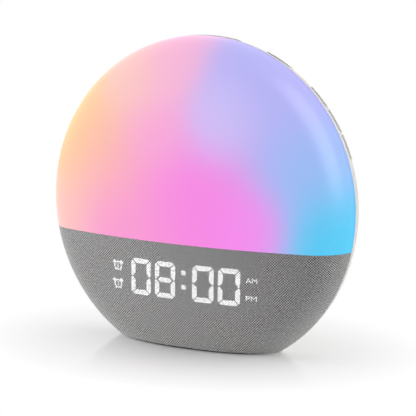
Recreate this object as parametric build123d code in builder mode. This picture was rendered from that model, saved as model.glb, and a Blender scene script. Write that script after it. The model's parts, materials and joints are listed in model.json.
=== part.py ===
from build123d import *
import os
from math import asin, atan2, cos, degrees, hypot, radians, sin, sqrt

os.makedirs("parts", exist_ok=True)

# Sunrise alarm clock, in millimetres. +Z is up, the front looks along -Y, and the origin lies in the
# plane the clock stands on, below the centre of the round rim where the front and rear shells meet.

# Body outline: each half is a shallow crown with a rounded edge, turned about the rim's axis
rim_radius = 90.0
front_depth = 30.8
front_edge_radius = 22.0
rear_depth = 40.0
rear_edge_radius = 17.0
base_cut = 14.4  # height cut off the round outline by the flat base
foot_proud = 0.8
foot_inset = 1.2
seam_drop = 18.1  # seam between the diffuser and the fabric, below the rim's centre

# Walls and gaps
diffuser_wall = 2.4
carrier_wall = 2.2
rear_wall = 2.4
floor_thickness = 2.4
shelf_thickness = 2.0
fabric_thickness = 0.75
glue_gap = 0.05
slip_gap = 0.2  # between parts that slip into each other
key_gap = 0.25  # round a key in its opening
cone_gap = 0.35  # round the moving cone of the speaker
pilot_gap = 0.05  # round a screw in its pilot hole

# Tongue of the front shells, which locates them in the rear housing
tongue_length = 3.0
tongue_width = 1.6
tongue_root = 3.0

# Chassis, the plate that everything inside is mounted on
chassis_thickness = 2.0
chassis_edge_gap = 0.35
pillar_radius = 4.0
housing_screw_inset = 30.0  # from the rim
housing_screw_angles = (-130, -48, 48, 130)
housing_screw_seat = 18.0  # depth behind the rim plane at which the rear housing seats on the pillars
well_radius = 3.4
well_wall = 1.8
well_floor = 2.0

# Screws
screw_radius = 1.4
screw_head_radius = 2.7
screw_head_height = 1.8
screw_bite = 9.8  # into its pillar or boss
small_screw_radius = 1.0
small_screw_head_radius = 1.9
small_screw_head_height = 1.3
small_screw_bite = 3.6
pilot_spare = 0.8  # pilot hole past the end of its screw
small_boss_radius = 2.8

# Keys on the shoulder of the rear housing, by their angle from the top
key_front = 3.6
key_width = 8.0
key_proud = 0.5
key_travel = 0.5
key_corner = 1.6
key_skirt = 1.0
key_tail = 1.4
key_notch_margin = 0.8
key_notch_depth = 2.6
stem_radius = 1.5
snooze_span = 24.0
lamp_key_angle = 27.7
lamp_key_span = 10.2
side_key_angle = 47.0
side_key_pitch = 9.65
side_key_span = 8.75
side_key_count = 3

# Key switches on their curved strip
key_wall_clearance = 0.74  # inside the keys' tails at full press
key_wall_thickness = 2.0
key_wall_reach = 8.0
key_wall_span = 150.0
key_strip_thickness = 0.3
key_strip_margin = 0.3
switch_size = 4.5
switch_height = 3.5
plunger_radius = 1.2
plunger_height = 0.9

# Lamp board
lamp_board_inset = 12.0  # from the rim
lamp_board_thickness = 1.6
lamp_board_above_seam = 3.0
lamp_led_pitch = 17.0
lamp_led_width = 3.5
lamp_led_height = 2.8
lamp_led_thickness = 0.9
lamp_led_edge = 9.0
lamp_screw_clearance = 6.0
lamp_screw_top_inset = 14.0  # from the lamp board's edge
lamp_screw_side_inset = 18.0
lamp_screw_rise = 8.0
lamp_wire_x = -24.0
lamp_wire_drop = 10.0
lamp_wire_hole_radius = 2.0

# Round leads, in upright planes, from the lamp board and the speaker down to the main board
wire_radius = 0.9
wire_bend = 1.9
wire_arch = 4.0  # behind the faces of the sockets
wire_arch_drop = 17.0
wire_stub = 3.0
speaker_tag_rise = 1.5  # above the lower edge of the speaker's flange

# Display: four seven-segment digits, a colon, two alarm marks and two half-day marks
display_x = 4.5
display_drop = 38.3
digit_width = 12.6
digit_height = 20.6
digit_stroke = 2.8
digit_corner = 1.4
digit_tip = 0.8
digit_slant = 2.5  # degrees
segment_gap = 0.4
inner_digit_x = 11.4
digit_pitch = 15.2
colon_size = 2.7
colon_spacing = 8.2
mark_x = 41.7
mark_spacing = 10.2
alarm_mark_size = 6.0
half_day_x = 38.6
half_day_width = 6.6
half_day_height = 3.2
window_gap = 0.1
light_guide_depth = 4.8
light_guide_thickness = 1.4
light_guide_side_margin = 1.3  # past the outer marks
light_guide_margin = 2.2  # above and below the digits
reflector_depth = 7.5
display_board_thickness = 1.6
display_screw_margin = 1.7  # between the light guide's ends and the screw bosses
display_screw_inset = 1.5  # from the light guide's long edges
display_board_margin = 3.5  # past the screws
display_board_rim = 2.0  # above and below the light guide
display_led_size = (1.6, 1.0)
display_led_thickness = 0.8

# Carrier screws, through the chassis
carrier_screw_inset = 25.0  # from the rim
carrier_screw_drop = 33.0

# Ribbon cable from the display to the main board, through a slot in the chassis
ribbon_width = 14.0
ribbon_thickness = 0.4
ribbon_rise = 9.6  # slot above the flat base
ribbon_slot_height = 4.0
ribbon_slot_margin = 1.0
ribbon_exit = 8.0  # below the middle of the display board
ribbon_stub = 3.0
ribbon_bend = 1.2
ribbon_slope = 4.0
ribbon_climb = 7.0  # from the slot up to its socket

# Main board behind the chassis
main_board_size = (78.0, 41.0)
main_board_drop = 42.0
main_board_standoff = 8.0
main_board_thickness = 1.6
main_screw_pitch = (70.0, 34.0)
chip_thickness = 1.2
chips = ((7.5, -34.0, 10.0, 10.0), (-7.0, -32.0, 6.0, 5.0), (13.0, -50.0, 6.0, 6.0))
capacitor_radius = 4.0
capacitor_height = 8.0
capacitors_at = ((26.0, -52.0), (26.0, -42.0))
socket_size = (7.5, 4.5)
socket_height = 4.0
socket_drop = 25.5
socket_columns = (-24.0, -14.0, 14.0, 24.0)
cell_radius = 10.0
cell_thickness = 3.2
cell_cup_wall = 1.0
cell_cup_floor = 0.8
cell_cup_height = 2.6
cell_cup_gap = 0.2
cell_x = -20.0
cell_drop = 47.0

# Power jack, reached through a round recess in the rear housing
jack_drop = 52.0
jack_recess_radius = 7.0
jack_recess_floor = 24.0
jack_recess_wall = 2.0
jack_nose_radius = 4.0
jack_body_width = 9.0
jack_bore_radius = 2.85
jack_bore_depth = 8.5
jack_pin_radius = 1.0

# Speaker behind the grille
speaker_rise = 14.0
speaker_seat = 30.0
speaker_gasket_thickness = 0.8
speaker_flange_rim = 1.5  # outside the opening
speaker_flange_corner = 6.0
speaker_flange_thickness = 1.2
speaker_screw_inset = 4.0  # from the flange's edges
speaker_opening_radius = 19.5
surround_width = 4.0  # between the cone and the opening
cone_depth = 5.4
cone_thickness = 0.5
cone_travel = 0.8
coil_radius = 6.0
coil_thickness = 0.4
dust_cap_rise = 1.7
pole_rise = 1.5
surround_ledge = 1.0
surround_thickness = 0.4
surround_roll = 1.8
basket_depth = 10.0
basket_rear_radius = 14.0
basket_wall = 1.0
basket_window_count = 4
magnet_radius = 12.5
magnet_thickness = 6.0
pole_radius = 5.2
seat_ring_wall = 2.2
grille_hole_radius = 1.1
grille_ring_pitch = 4.6
grille_rings = 3

# Values worked out from the sizes above
front, rear = -1, 1
base_height = foot_proud
base_drop = rim_radius - base_cut
centre_height = base_drop + foot_proud
seam_height = centre_height - seam_drop
skin = fabric_thickness + glue_gap
rear_inner_edge = rear_edge_radius - rear_wall
tongue_outer = rim_radius - rear_edge_radius + sqrt(rear_inner_edge**2 - tongue_length**2) - slip_gap
tongue_inner = tongue_outer - tongue_width
chassis_front = tongue_length
chassis_rear = chassis_front + chassis_thickness
housing_screw_circle = rim_radius - housing_screw_inset
lamp_board_radius = rim_radius - lamp_board_inset
lamp_screw_x = lamp_board_radius - lamp_screw_side_inset
lamp_screws_at = (
    (0.0, lamp_board_radius - lamp_screw_top_inset),
    (-lamp_screw_x, lamp_screw_rise),
    (lamp_screw_x, lamp_screw_rise),
)
carrier_screw_x = rim_radius - carrier_screw_inset
ribbon_drop = base_drop - ribbon_rise
ribbon_socket_drop = ribbon_drop - ribbon_climb
light_guide_size = (
    2 * mark_x + alarm_mark_size + 2 * light_guide_side_margin,
    digit_height + 2 * light_guide_margin,
)
rim_axis = Axis((0, 0, centre_height), (0, 1, 0))
section_plane = Plane.XY.offset(centre_height)


def facing_plane(depth):
    """Plane across the rim's axis at a depth behind the rim, with x to the right and y up."""
    return Plane(origin=(0, depth, centre_height), x_dir=(1, 0, 0), z_dir=(0, -1, 0))


def sizes_of(side):
    return (front_depth, front_edge_radius) if side == front else (rear_depth, rear_edge_radius)


def crown_radius(side):
    """Radius of the crown that is tangent to the rounded edge and reaches the full depth."""
    depth, edge = sizes_of(side)
    reach = rim_radius - edge
    return (reach**2 + depth**2 - edge**2) / (2 * (depth - edge))


def outline(side, offset, start_depth=0.0):
    """Crown arc and edge arc of the offset outline, drawn from the axis to the start depth at the rim."""
    depth, edge = sizes_of(side)
    crown = crown_radius(side)
    lean = degrees(atan2(crown - depth, rim_radius - edge))
    low = degrees(asin(start_depth / (edge + offset)))
    CenterArc((0, side * (depth - crown)), crown + offset, 90 * side, (lean - 90) * side)
    CenterArc((rim_radius - edge, 0), edge + offset, lean * side, (low - lean) * side)


def bowl(side, outer, inner):
    """Shell of one half between two offsets of its outline."""
    depth = sizes_of(side)[0]
    with BuildPart() as shell:
        with BuildSketch(section_plane):
            with BuildLine():
                outline(side, outer)
                Line((rim_radius + outer, 0), (rim_radius + inner, 0))
                outline(side, inner)
                Line((0, side * (depth + inner)), (0, side * (depth + outer)))
            make_face()
        revolve(axis=rim_axis)
    return shell.part


def bowl_fill(side, outer, neck_radius=0.0, neck_length=0.0):
    """Solid half inside an offset of its outline, with a round neck past the rim plane."""
    depth = sizes_of(side)[0]
    with BuildPart() as fill:
        with BuildSketch(section_plane):
            with BuildLine():
                outline(side, outer)
                Line((rim_radius + outer, 0), (0, 0))
                Line((0, 0), (0, side * (depth + outer)))
            make_face()
        revolve(axis=rim_axis)
        if neck_radius:
            with BuildSketch(facing_plane(0)):
                Circle(neck_radius)
            extrude(amount=-neck_length)
    return fill.part


def tongued_shell(cover, wall):
    """Front shell under a cover, with the tongue that reaches into the rear housing."""
    depth, edge = sizes_of(front)
    inner = -cover - wall
    root_radius = rim_radius - edge + sqrt((edge + inner) ** 2 - tongue_root**2)
    with BuildPart() as shell:
        with BuildSketch(section_plane):
            with BuildLine():
                outline(front, -cover)
                Polyline(
                    (rim_radius - cover, 0),
                    (tongue_outer, 0),
                    (tongue_outer, tongue_length),
                    (tongue_inner, tongue_length),
                    (tongue_inner, -tongue_root),
                    (root_radius, -tongue_root),
                )
                outline(front, inner, tongue_root)
                Line((0, -depth - inner), (0, -depth + cover))
            make_face()
        revolve(axis=rim_axis)
    return shell.part


def slab(body, low, high):
    """The part of a body between two heights."""
    with BuildPart() as cut:
        add(body)
        split(bisect_by=Plane.XY.offset(low), keep=Keep.TOP)
        split(bisect_by=Plane.XY.offset(high), keep=Keep.BOTTOM)
    return cut.part


def write(piece, name):
    piece.part.label = name
    export_step(piece.part, f"parts/{name}.step")


# Keys: names, angles from the top and spans, worked out once for the housing, the chassis and the caps
keys = [("snooze_key", 0.0, snooze_span)]
for hand, word in ((-1, "left"), (1, "right")):
    keys.append((f"lamp_key_{word}", hand * lamp_key_angle, lamp_key_span))
    for row in range(side_key_count):
        turn = side_key_angle + row * side_key_pitch
        keys.append((f"{word}_key_{row + 1}", hand * turn, side_key_span))


def rim_block(angle, span, near, far, low, high, corner=0.0):
    """Block at an angle from the top, between two depths and two radii, with ends along the radius."""
    start = radians(angle - span / 2)
    plane = Plane(
        origin=(0, 0, centre_height),
        x_dir=(sin(start), 0, cos(start)),
        z_dir=(-cos(start), 0, sin(start)),
    )
    with BuildPart() as block:
        with BuildSketch(plane):
            with Locations(((low + high) / 2, (near + far) / 2)):
                Rectangle(high - low, far - near)
        revolve(axis=rim_axis, revolution_arc=span)
        if corner:
            fillet(block.edges().filter_by(GeomType.LINE).filter_by(Axis.Y, reverse=True), corner)
    return block.part


def arc_degrees(length):
    """Angle that a length spans along the rim."""
    return degrees(length / rim_radius)


# Display marks, laid out on a plane that touches the inside of the carrier behind the digits
carrier_inner_crown = crown_radius(front) - skin - carrier_wall
display_tilt = asin(display_drop / carrier_inner_crown)
display_origin = Vector(
    display_x,
    crown_radius(front) - front_depth - carrier_inner_crown * cos(display_tilt),
    centre_height - display_drop,
)
display_normal = Vector(0, -cos(display_tilt), -sin(display_tilt))


def display_plane(behind):
    """Plane of the display at a distance behind the carrier's inner face."""
    return Plane(origin=display_origin - display_normal * behind, x_dir=(1, 0, 0), z_dir=display_normal)


def slanted(x, y):
    return (x + y * sin(radians(digit_slant)), y)


def segment_shapes():
    """Outlines and middles of the seven segments of one digit, around the digit's centre."""
    half_w, half_h = digit_width / 2, digit_height / 2
    stroke, cut = digit_stroke, digit_corner
    shift = segment_gap / sqrt(2)
    top = [
        (-half_w + stroke + shift, half_h - stroke),
        (-half_w + (cut + shift) / 2, half_h - (cut - shift) / 2),
        (-half_w + cut, half_h),
        (half_w - cut, half_h),
        (half_w - (cut + shift) / 2, half_h - (cut - shift) / 2),
        (half_w - stroke - shift, half_h - stroke),
    ]
    upper_left = [
        (-half_w + stroke, half_h - stroke - shift),
        (-half_w + (cut - shift) / 2, half_h - (cut + shift) / 2),
        (-half_w, half_h - cut),
        (-half_w, (segment_gap + digit_tip) / 2),
        (-half_w + digit_tip, segment_gap / 2),
        (-half_w + stroke, segment_gap / 2 + stroke - digit_tip),
    ]
    middle = [
        (-half_w + digit_tip + stroke / 2, 0),
        (-half_w + stroke + shift, stroke / 2),
        (half_w - stroke - shift, stroke / 2),
        (half_w - digit_tip - stroke / 2, 0),
        (half_w - stroke - shift, -stroke / 2),
        (-half_w + stroke + shift, -stroke / 2),
    ]
    outlines = [top, [(x, -y) for x, y in top], middle]
    for flip_x, flip_y in ((1, 1), (-1, 1), (1, -1), (-1, -1)):
        outlines.append([(flip_x * x, flip_y * y) for x, y in upper_left])
    reach = (digit_height - stroke) / 2
    side = (digit_width - stroke) / 2
    middles = [(0, reach), (0, -reach), (0, 0)]
    middles += [(x, y) for y in (reach / 2, -reach / 2) for x in (-side, side)]
    return outlines, middles


digit_centres = [side * (inner_digit_x + step * digit_pitch) for side in (-1, 1) for step in (0, 1)]
colon_centres = [(0, colon_spacing / 2), (0, -colon_spacing / 2)]
alarm_centres = [(-mark_x, mark_spacing / 2), (-mark_x, -mark_spacing / 2)]
half_day_centres = [(half_day_x, mark_spacing / 2), (half_day_x, -mark_spacing / 2)]


def display_marks(shrink):
    """Sketch of every lit mark of the display, each smaller all round by a little."""
    with BuildSketch() as marks:
        for centre in digit_centres:
            for shape in segment_shapes()[0]:
                Polygon(*[slanted(centre + x, y) for x, y in shape])
        with Locations(*[slanted(x, y) for x, y in colon_centres]):
            Rectangle(colon_size, colon_size)
        with Locations(*[slanted(x, y) for x, y in alarm_centres]):
            Circle(alarm_mark_size / 2)
        with Locations(*[slanted(x, y) for x, y in half_day_centres]):
            Rectangle(half_day_width, half_day_height)
        if shrink:
            offset(amount=-shrink, kind=Kind.INTERSECTION, mode=Mode.REPLACE)
    return marks.sketch


display_screw_x = light_guide_size[0] / 2 + small_boss_radius + display_screw_margin
display_screw_y = light_guide_size[1] / 2 - display_screw_inset
display_board_width = 2 * (display_screw_x + display_board_margin)
display_board_height = light_guide_size[1] + 2 * display_board_rim
display_bosses = [
    (side * display_screw_x, level * display_screw_y)
    for side in (-1, 1)
    for level in (-1, 1)
]
light_guide_rear = light_guide_depth + light_guide_thickness
display_board_front = light_guide_rear + reflector_depth
display_board_rear = display_board_front + display_board_thickness
carrier_screws = [(side * carrier_screw_x, -carrier_screw_drop) for side in (-1, 1)]
housing_screws_at = [
    (housing_screw_circle * sin(radians(turn)), housing_screw_circle * cos(radians(turn)))
    for turn in housing_screw_angles
]
main_board_front = chassis_rear + main_board_standoff
main_board_rear = main_board_front + main_board_thickness
main_screws_at = [
    (side * main_screw_pitch[0] / 2, -main_board_drop + level * main_screw_pitch[1] / 2)
    for side in (-1, 1)
    for level in (-1, 1)
]

# Translucent diffuser dome, above the seam
dome_blank = tongued_shell(0.0, diffuser_wall)
with BuildPart() as diffuser_dome:
    add(dome_blank)
    split(bisect_by=Plane.XY.offset(seam_height), keep=Keep.TOP)
write(diffuser_dome, "diffuser_dome")

# Front carrier below the seam: tub with a light-tight shelf on top, a floor and the display windows
carrier_blank = slab(tongued_shell(skin, carrier_wall), base_height, seam_height)
carrier_core = bowl_fill(front, -skin - carrier_wall / 2, tongue_inner + tongue_width / 2, tongue_length)
carrier_shelf = slab(carrier_core, seam_height - shelf_thickness, seam_height)
carrier_floor_core = bowl_fill(front, -skin - carrier_wall / 2)
carrier_floor = slab(carrier_floor_core, base_height, base_height + floor_thickness)
front_inside = bowl_fill(front, -skin - carrier_wall / 2)
with BuildPart() as carrier_pegs:
    with BuildSketch(display_plane(display_board_front)):
        with Locations(*display_bosses):
            Circle(small_boss_radius)
    extrude(amount=display_board_front + front_depth)
    add(front_inside, mode=Mode.INTERSECT)
with BuildPart() as carrier_bosses:
    with BuildSketch(facing_plane(0)):
        with Locations(*carrier_screws):
            Circle(pillar_radius)
    extrude(amount=front_depth)
    add(front_inside, mode=Mode.INTERSECT)
    with BuildSketch(facing_plane(chassis_front)):
        with Locations(*carrier_screws):
            Circle(pillar_radius)
    extrude(amount=chassis_front)
window_marks = display_marks(0.0)
with BuildPart() as front_carrier:
    add(carrier_blank)
    add(carrier_shelf)
    add(carrier_floor)
    add(carrier_pegs.part)
    add(carrier_bosses.part)
    with BuildSketch(display_plane(display_board_front)):
        with Locations(*display_bosses):
            Circle(small_screw_radius + pilot_gap)
    extrude(amount=small_screw_bite + pilot_spare, mode=Mode.SUBTRACT)
    with BuildSketch(facing_plane(chassis_front)):
        with Locations(*carrier_screws):
            Circle(screw_radius + pilot_gap)
    extrude(amount=screw_bite + pilot_spare, mode=Mode.SUBTRACT)
    with BuildSketch(display_plane(light_guide_depth)):
        add(window_marks)
    extrude(amount=light_guide_depth + carrier_wall + skin, mode=Mode.SUBTRACT)
    with BuildSketch(facing_plane(tongue_length)):
        with Locations((0, base_height + floor_thickness + slip_gap - centre_height)):
            Rectangle(2 * rim_radius, 2 * floor_thickness, align=(Align.CENTER, Align.MAX))
    extrude(amount=tongue_length, mode=Mode.SUBTRACT)
write(front_carrier, "front_carrier")

# Fabric stretched over the carrier, flush with the diffuser
fabric_blank = bowl(front, 0.0, -fabric_thickness)
with BuildPart() as fabric_cover:
    add(slab(fabric_blank, base_height, seam_height))
write(fabric_cover, "fabric_cover")

# Light guide with a finger in each display window, its faces flush with the carrier under the fabric
guide_marks = display_marks(window_gap)
guide_limit = bowl_fill(front, -skin)
with BuildPart() as light_guide:
    with BuildSketch(display_plane(light_guide_depth)):
        add(guide_marks)
    extrude(amount=light_guide_depth + carrier_wall)
    add(guide_limit, mode=Mode.INTERSECT)
    with BuildSketch(display_plane(light_guide_rear)):
        RectangleRounded(*light_guide_size, radius=digit_stroke)
    extrude(amount=light_guide_thickness)
write(light_guide, "light_guide")

# Reflector block with one light well for each mark
with BuildPart() as display_reflector:
    with BuildSketch(display_plane(display_board_front)):
        RectangleRounded(*light_guide_size, radius=digit_stroke)
    extrude(amount=reflector_depth)
    with BuildSketch(display_plane(display_board_front)):
        add(window_marks)
    extrude(amount=reflector_depth, mode=Mode.SUBTRACT)
write(display_reflector, "display_reflector")

with BuildPart() as display_board:
    with BuildSketch(display_plane(display_board_rear)):
        RectangleRounded(display_board_width, display_board_height, radius=digit_stroke)
        with Locations(*display_bosses):
            Circle(small_screw_radius + slip_gap, mode=Mode.SUBTRACT)
    extrude(amount=display_board_thickness)
write(display_board, "display_board")

led_places = [
    slanted(centre + x, y) for centre in digit_centres for x, y in segment_shapes()[1]
]
led_places += [slanted(x, y) for x, y in colon_centres + alarm_centres + half_day_centres]
with BuildPart() as display_leds:
    with BuildSketch(display_plane(display_board_front)):
        with Locations(*led_places):
            Rectangle(*display_led_size)
    extrude(amount=display_led_thickness)
write(display_leds, "display_leds")


def screw_set(plane, places, shank_radius, head_radius, head_height, length):
    """Identical screws whose heads rest on a plane and whose shanks run along its normal."""
    with BuildPart() as screws:
        with BuildSketch(plane):
            with Locations(*places):
                Circle(head_radius)
        extrude(amount=-head_height)
        with BuildSketch(plane):
            with Locations(*places):
                Circle(shank_radius)
        extrude(amount=length)
    return screws


display_screws = screw_set(
    display_plane(display_board_rear),
    display_bosses,
    small_screw_radius,
    small_screw_head_radius,
    small_screw_head_height,
    display_board_thickness + small_screw_bite,
)
write(display_screws, "display_screws")

# Rear housing with its key openings, speaker seat and grille, screw wells and power recess
housing_outer = slab(bowl_fill(rear, 0.0), base_height, centre_height + rim_radius)
housing_cavity = slab(
    bowl_fill(rear, -rear_wall), base_height + floor_thickness, centre_height + rim_radius
)
housing_core = bowl_fill(rear, -rear_wall / 2)
key_rear = key_front + key_width
key_openings = [
    rim_block(
        turn,
        span + 2 * arc_degrees(key_gap),
        key_front - key_gap,
        key_rear + key_gap,
        rim_radius - rear_edge_radius,
        rim_radius + key_proud,
        key_corner + key_gap,
    )
    for name, turn, span in keys
]
speaker_centre = (0, speaker_rise)
speaker_flange = 2 * (speaker_opening_radius + speaker_flange_rim)
speaker_screw_reach = speaker_flange / 2 - speaker_screw_inset
cone_radius = speaker_opening_radius - surround_width
speaker_bosses = [
    (side * speaker_screw_reach, speaker_rise + level * speaker_screw_reach)
    for side in (-1, 1)
    for level in (-1, 1)
]
well_bottom = housing_screw_seat + well_floor
jack_floor_inner = jack_recess_floor - jack_recess_wall
with BuildPart() as housing_fittings:
    with BuildSketch(facing_plane(speaker_seat)):
        with Locations(speaker_centre):
            Circle(speaker_opening_radius + seat_ring_wall)
            Circle(speaker_opening_radius, mode=Mode.SUBTRACT)
        with Locations(*speaker_bosses):
            Circle(small_boss_radius)
        with Locations(speaker_centre):
            Circle(speaker_opening_radius, mode=Mode.SUBTRACT)
    extrude(amount=-rear_depth)
    with BuildSketch(facing_plane(housing_screw_seat)):
        with Locations(*housing_screws_at):
            Circle(well_radius + well_wall)
    extrude(amount=-rear_depth)
    with BuildSketch(facing_plane(jack_floor_inner)):
        with Locations((0, -jack_drop)):
            Circle(jack_recess_radius + jack_recess_wall)
    extrude(amount=-rear_depth)
    add(housing_core, mode=Mode.INTERSECT)
grille_circles = [(0.0, speaker_rise)]
for ring in range(1, grille_rings + 1):
    for step in range(6 * ring):
        turn = radians(60.0 * step / ring)
        reach = ring * grille_ring_pitch
        grille_circles.append((reach * sin(turn), speaker_rise + reach * cos(turn)))
with BuildPart() as rear_housing:
    add(housing_outer)
    add(housing_cavity, mode=Mode.SUBTRACT)
    add(housing_fittings.part)
    for opening in key_openings:
        add(opening, mode=Mode.SUBTRACT)
    with BuildSketch(facing_plane(speaker_seat)):
        with Locations(*grille_circles):
            Circle(grille_hole_radius)
    extrude(amount=-rear_depth, mode=Mode.SUBTRACT)
    with BuildSketch(facing_plane(speaker_seat)):
        with Locations(*speaker_bosses):
            Circle(small_screw_radius + pilot_gap)
    extrude(amount=-small_screw_bite - pilot_spare, mode=Mode.SUBTRACT)
    with BuildSketch(facing_plane(well_bottom)):
        with Locations(*housing_screws_at):
            Circle(well_radius)
    extrude(amount=-rear_depth, mode=Mode.SUBTRACT)
    with BuildSketch(facing_plane(housing_screw_seat)):
        with Locations(*housing_screws_at):
            Circle(screw_radius + slip_gap)
    extrude(amount=-well_floor, mode=Mode.SUBTRACT)
    with BuildSketch(facing_plane(jack_recess_floor)):
        with Locations((0, -jack_drop)):
            Circle(jack_recess_radius)
    extrude(amount=-rear_depth, mode=Mode.SUBTRACT)
    with BuildSketch(facing_plane(jack_floor_inner)):
        with Locations((0, -jack_drop)):
            Circle(jack_nose_radius + slip_gap)
    extrude(amount=-jack_recess_wall, mode=Mode.SUBTRACT)
write(rear_housing, "rear_housing")

# Keys: each cap fills its opening, stands a little proud and is held by a tail under the wall
key_skirt_offset = -rear_wall - key_gap - key_skirt
cap_layer = bowl(rear, key_proud, key_skirt_offset)
tail_layer = bowl(rear, -rear_wall - key_gap, key_skirt_offset)
tail_end = key_rear + key_tail
tail_reach = sqrt((rear_edge_radius + key_skirt_offset) ** 2 - tail_end**2)
tail_radius = rim_radius - rear_edge_radius + tail_reach
strip_radius = tail_radius - key_travel - key_wall_clearance
key_wall_radius = strip_radius - key_strip_thickness - key_wall_thickness
plunger_top = strip_radius + switch_height + plunger_height
key_middle = key_front + key_width / 2


def radial_plane(turn, radius, depth):
    """Plane square to the radius at an angle from the top, looking outwards."""
    way = radians(turn)
    return Plane(
        origin=(radius * sin(way), depth, centre_height + radius * cos(way)),
        x_dir=(cos(way), 0, -sin(way)),
        z_dir=(sin(way), 0, cos(way)),
    )


for name, turn, span in keys:
    cap_block = rim_block(
        turn,
        span,
        key_front,
        key_rear,
        rim_radius - rear_edge_radius,
        rim_radius + 2 * key_proud,
        key_corner,
    )
    tail_block = rim_block(
        turn,
        span - 2 * arc_degrees(key_corner),
        key_middle,
        tail_end,
        rim_radius - rear_edge_radius,
        rim_radius,
    )
    with BuildPart() as tail:
        add(tail_block)
        add(tail_layer, mode=Mode.INTERSECT)
    with BuildPart() as key:
        add(cap_block)
        add(cap_layer, mode=Mode.INTERSECT)
        add(tail.part)
        with BuildSketch(radial_plane(turn, plunger_top + key_travel + pilot_gap, key_middle)):
            Circle(stem_radius)
        extrude(until=Until.NEXT)
    write(key, name)

# Rubber foot under the flat base
foot_body = bowl_fill(front, -foot_inset).fuse(bowl_fill(rear, -foot_inset))
with BuildPart() as rubber_foot:
    add(slab(foot_body, 0.0, base_height))
write(rubber_foot, "rubber_foot")

# Chassis plate with its pillars, board standoffs, key wall and notches for the keys
chassis_radius = rim_radius - rear_edge_radius - chassis_edge_gap + sqrt(
    (rear_edge_radius - rear_wall) ** 2 - chassis_rear**2
)
chassis_bottom = base_height + floor_thickness + slip_gap
key_notches = [
    rim_block(
        turn,
        span + 2 * arc_degrees(key_notch_margin),
        chassis_front,
        chassis_rear,
        chassis_radius - key_notch_depth,
        rim_radius,
    )
    for name, turn, span in keys
]
with BuildPart() as chassis:
    with BuildSketch(facing_plane(chassis_rear)):
        Circle(chassis_radius)
    extrude(amount=chassis_thickness)
    with BuildSketch(facing_plane(housing_screw_seat)):
        with Locations(*housing_screws_at):
            Circle(pillar_radius)
    extrude(amount=housing_screw_seat - chassis_rear)
    with BuildSketch(facing_plane(main_board_front)):
        with Locations(*main_screws_at):
            Circle(small_boss_radius)
    extrude(amount=main_board_standoff)
    add(
        rim_block(
            0,
            key_wall_span,
            chassis_rear,
            chassis_rear + key_wall_reach,
            key_wall_radius,
            key_wall_radius + key_wall_thickness,
        )
    )
    split(bisect_by=Plane.XY.offset(chassis_bottom), keep=Keep.TOP)
    for notch in key_notches:
        add(notch, mode=Mode.SUBTRACT)
    with BuildSketch(facing_plane(housing_screw_seat)):
        with Locations(*housing_screws_at):
            Circle(screw_radius + pilot_gap)
    extrude(amount=screw_bite + pilot_spare, mode=Mode.SUBTRACT)
    with BuildSketch(facing_plane(main_board_front)):
        with Locations(*main_screws_at):
            Circle(small_screw_radius + pilot_gap)
    extrude(amount=small_screw_bite + pilot_spare, mode=Mode.SUBTRACT)
    with BuildSketch(facing_plane(chassis_rear)):
        with Locations(*carrier_screws):
            Circle(screw_radius + slip_gap)
        with Locations(*lamp_screws_at):
            Circle(small_screw_radius + pilot_gap)
        with Locations((0, -ribbon_drop)):
            Rectangle(ribbon_width + 2 * ribbon_slot_margin, ribbon_slot_height)
        with Locations((lamp_wire_x, -lamp_wire_drop)):
            Circle(lamp_wire_hole_radius)
    extrude(amount=chassis_thickness, mode=Mode.SUBTRACT)
write(chassis, "chassis")

# Lamp board in front of the chassis, with its light-emitting diodes spread behind the diffuser
lamp_board_front = chassis_front - lamp_board_thickness
lamp_board_low = seam_height + lamp_board_above_seam
with BuildPart() as lamp_board:
    with BuildSketch(facing_plane(chassis_front)):
        Circle(lamp_board_radius)
        with Locations(*lamp_screws_at):
            Circle(small_screw_radius + slip_gap, mode=Mode.SUBTRACT)
    extrude(amount=lamp_board_thickness)
    split(bisect_by=Plane.XY.offset(lamp_board_low), keep=Keep.TOP)
write(lamp_board, "lamp_board")

led_reach = lamp_board_radius - lamp_led_edge
led_steps = int(led_reach / lamp_led_pitch)
lamp_led_places = []
for column in range(-led_steps, led_steps + 1):
    for row in range(2 * led_steps):
        x = column * lamp_led_pitch
        z = lamp_board_above_seam - seam_drop + lamp_led_edge + row * lamp_led_pitch
        clear = all(hypot(x - u, z - v) > lamp_screw_clearance for u, v in lamp_screws_at)
        if hypot(x, z) < led_reach and clear:
            lamp_led_places.append((x, z))
with BuildPart() as lamp_leds:
    with BuildSketch(facing_plane(lamp_board_front)):
        with Locations(*lamp_led_places):
            Rectangle(lamp_led_width, lamp_led_height)
    extrude(amount=lamp_led_thickness)
write(lamp_leds, "lamp_leds")


def backing_plane(depth):
    """Plane across the rim's axis that looks to the rear, for screws driven that way."""
    return Plane(origin=(0, depth, centre_height), x_dir=(-1, 0, 0), z_dir=(0, 1, 0))


lamp_screws = screw_set(
    backing_plane(lamp_board_front),
    lamp_screws_at,
    small_screw_radius,
    small_screw_head_radius,
    small_screw_head_height,
    lamp_board_thickness + chassis_thickness,
)
write(lamp_screws, "lamp_board_screws")

carrier_screw_set = screw_set(
    facing_plane(chassis_rear),
    carrier_screws,
    screw_radius,
    screw_head_radius,
    screw_head_height,
    chassis_thickness + screw_bite,
)
write(carrier_screw_set, "carrier_screws")

housing_screws = screw_set(
    facing_plane(well_bottom),
    housing_screws_at,
    screw_radius,
    screw_head_radius,
    screw_head_height,
    well_floor + screw_bite,
)
write(housing_screws, "housing_screws")

# Key switches on a flexible strip wrapped round the chassis's key wall
with BuildPart() as key_strip:
    add(
        rim_block(
            0,
            key_wall_span,
            chassis_rear + key_strip_margin,
            chassis_rear + key_wall_reach - key_strip_margin,
            key_wall_radius + key_wall_thickness,
            strip_radius,
        )
    )
write(key_strip, "key_strip")

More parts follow.
